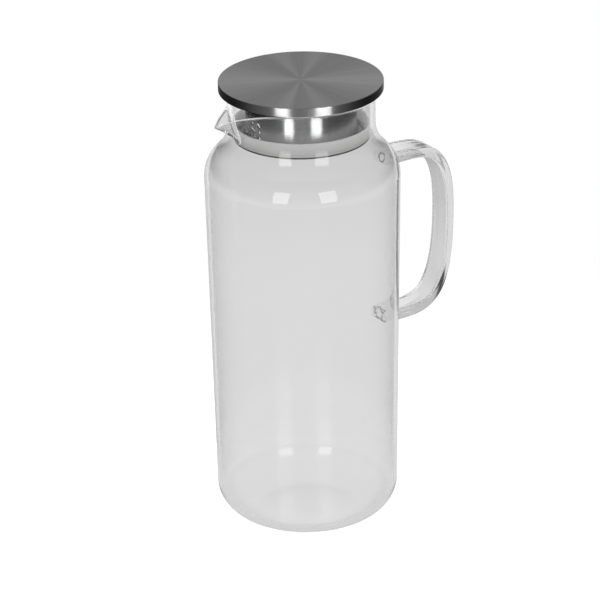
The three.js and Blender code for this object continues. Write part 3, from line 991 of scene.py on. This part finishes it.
def add_lamp(name, turn, lift, width, height, power, lit=None):
    """A large soft lamp, placed by its turn from the camera and its lift, aimed at the neck.

    It lights everything, or the one piece given.
    """
    turn, lift = math.radians(turn), math.radians(lift)
    away = from_view((math.sin(turn) * math.cos(lift), -math.cos(turn) * math.cos(lift),
                      math.sin(lift)))
    data = bpy.data.lights.new(name, "AREA")
    data.shape = "RECTANGLE"
    data.size = width
    data.size_y = height
    data.energy = power
    lamp = bpy.data.objects.new(name, data)
    lamp.location = Vector(LAMP_AIM) + away * LAMP_DISTANCE
    lamp.rotation_euler = (-away).to_track_quat("-Z", "Y").to_euler()
    lamp.visible_camera = False
    if lit:
        lamp.light_linking.receiver_collection = bpy.data.collections.new(name)
        lamp.light_linking.receiver_collection.objects.link(lit)
        # Through the neck the lamp's light then counts in full
        data.cycles.use_multiple_importance_sampling = False
    bpy.context.scene.collection.objects.link(lamp)


def table_finish():
    """White, lit and softly glowing to the camera, plain white with a faint polish to glass and
    steel, matt to all other light, and fading out with the distance from the carafe."""
    material, nodes = new_material("white_table")
    path = nodes.node("LightPath").outputs
    matt = nodes.node("BsdfDiffuse", {"Color": TABLE_COLOUR}).outputs[0]
    glow = nodes.node("Emission", {"Strength": TABLE_GLOW}).outputs[0]
    lit = nodes.node("AddShader", {0: matt, 1: glow}).outputs[0]
    white = nodes.scaled(path["Glossy Depth"], TABLE_THROUGH_GLASS, TABLE_MIRRORED)
    plain = nodes.node("Emission", {"Strength": white}).outputs[0]
    polish = nodes.node("BsdfAnisotropic", {"Roughness": POLISH_ROUGHNESS}).outputs[0]
    near = nodes.mixed(path["Is Camera Ray"], nodes.mixed(TABLE_POLISH, plain, polish), lit)
    from_axis = nodes.length(nodes.node("TexCoord").outputs["Object"])
    end = nodes.scaled(path["Is Glossy Ray"], FADE_END, MIRRORED_FADE_END)
    clear = nodes.node("BsdfTransparent").outputs[0]
    shown = nodes.mixed(nodes.eased(from_axis, FADE_START, end, 0.0, 1.0), near, clear)
    seen = nodes.larger(*(path[f"Is {kind} Ray"] for kind in ("Camera", "Glossy", "Transmission")))
    nodes.node("OutputMaterial", {"Surface": nodes.mixed(seen, matt, shown)})
    return material


def add_floor():
    """A round white table: a flat disc of rings about one middle point, just under the base."""
    columns, rows = TABLE_COLUMNS, TABLE_ROWS
    reach = np.linspace(0, TABLE_RADIUS, rows) / MM
    grid = revolved(np.stack([reach, np.full(rows, -TABLE_GAP)], -1), even_angles(columns))
    points = np.concatenate([grid[1:].reshape(-1, 3), grid[0, :1]])
    j = np.arange(columns)
    fan = np.stack([np.full(columns, len(points) - 1), j, (j + 1) % columns], -1)
    material = table_finish()
    mesh_object("table", points, ring_quads(rows - 1, columns)[:, ::-1], fan, material)


def add_world():
    """White behind everything and through clear glass; mirrored rays see a studio instead.

    Steel mirrors a dark room with a pale sweep behind the carafe and a grey wall round the
    camera; the sleeve, seen through the neck, has such a room of its own. Rays turned back inside
    the glass see the white sweep with a dark gap above it.
    """
    world = bpy.data.worlds.new("studio")
    bpy.context.scene.world = world
    world.use_nodes = True
    nodes = Wiring(world.node_tree)
    path = nodes.node("LightPath").outputs
    ahead = nodes.node("TexCoord").outputs["Generated"]
    x, y, sine_of_lift = nodes.split(ahead)
    camera_side = from_view((math.sin(ROOM_TURN), -math.cos(ROOM_TURN), 0))
    cosine_of_turn = nodes.node("VectorMath", {0: nodes.unit(nodes.joined(x, y)), 1: camera_side},
                                operation="DOT_PRODUCT").outputs["Value"]
    turn_share = nodes.math("MULTIPLY_ADD", cosine_of_turn, 0.5, 0.5)

    def shades(stops):
        """Brightness over the turn from the camera's side, from (degrees, brightness) stops."""
        return nodes.ramp(turn_share, [
            ((math.cos(math.radians(turn)) + 1) / 2, (value, value, value, 1))
            for turn, value in stops])

    def by_lift(lifts, under=0.0, over=1.0):
        """The first value below the two lifts in degrees, easing to the second above them."""
        low, high = (math.sin(math.radians(lift)) for lift in lifts)
        return nodes.eased(sine_of_lift, low, high, under, over)

    def choose(factor, first, second):
        """The first value where the factor is 0, and the second where it is 1."""
        inputs = {"Factor": factor, "A": first, "B": second}
        return nodes.node("Mix", inputs).outputs["Result"]

    steel_room = choose(by_lift(MIDDLE_TO_HIGH), shades(MIDDLE_ROOM), shades(HIGH_ROOM))
    steel_room = choose(by_lift(HIGH_TO_CEILING), steel_room, CEILING)
    steel_room = choose(by_lift(LOW_TO_MIDDLE), shades(LOW_ROOM), steel_room)
    bands = nodes.times(shades(LOW_BANDS), by_lift(BANDS_TOP, 1.0, 0.0))
    steel_room = nodes.math("ADD", bands, steel_room)
    gap = nodes.times(by_lift(SWEEP_TOP), by_lift(CEILING_FOOT, 1.0, CEILING_DARK))
    glass_room = nodes.times(shades(GLASS_ROOM), nodes.math("MULTIPLY_ADD", gap, GAP_SHADE - 1, 1))
    through, turned = path["Transmission Depth"], path["Glossy Depth"]
    from_sleeve = nodes.times(nodes.is_number(through, 4), nodes.is_number(turned, 1.5, 0.7))
    from_steel = nodes.larger(nodes.is_number(through, 0), from_sleeve)
    mirrored = choose(from_steel, glass_room, choose(from_sleeve, steel_room, shades(SLEEVE_ROOM)))
    behind_glass = by_lift(SWEEP_BEND, THROUGH_GLASS, THROUGH_GLASS * ABOVE_BEND)
    seen = choose(path["Is Camera Ray"], behind_glass, 1.0)
    seen = choose(nodes.math("GREATER_THAN", turned, 0.5), seen, mirrored)
    seen = choose(nodes.math("GREATER_THAN", path["Diffuse Depth"], 0.5), seen, AMBIENT)
    sky = nodes.node("Background", {"Color": (1, 1, 1, 1), "Strength": seen})
    nodes.node("OutputWorld", {"Surface": sky.outputs[0]})


add_camera()
add_floor()
add_world()
for pair, lit, lift, height, powers in LAMP_PAIRS:
    for (side, turn, width), power in zip(LAMP_SIDES, powers):
        add_lamp(f"{pair}_{side}", turn, lift, width, height, power, pieces.get(lit))

# Light may be turned back many times inside the glass, and lamps seen through it stay bright
cycles = bpy.context.scene.cycles
cycles.max_bounces = 32
cycles.glossy_bounces = 16
cycles.transmission_bounces = 24
cycles.sample_clamp_indirect = 40

bpy.context.scene.view_settings.view_transform = "Standard"
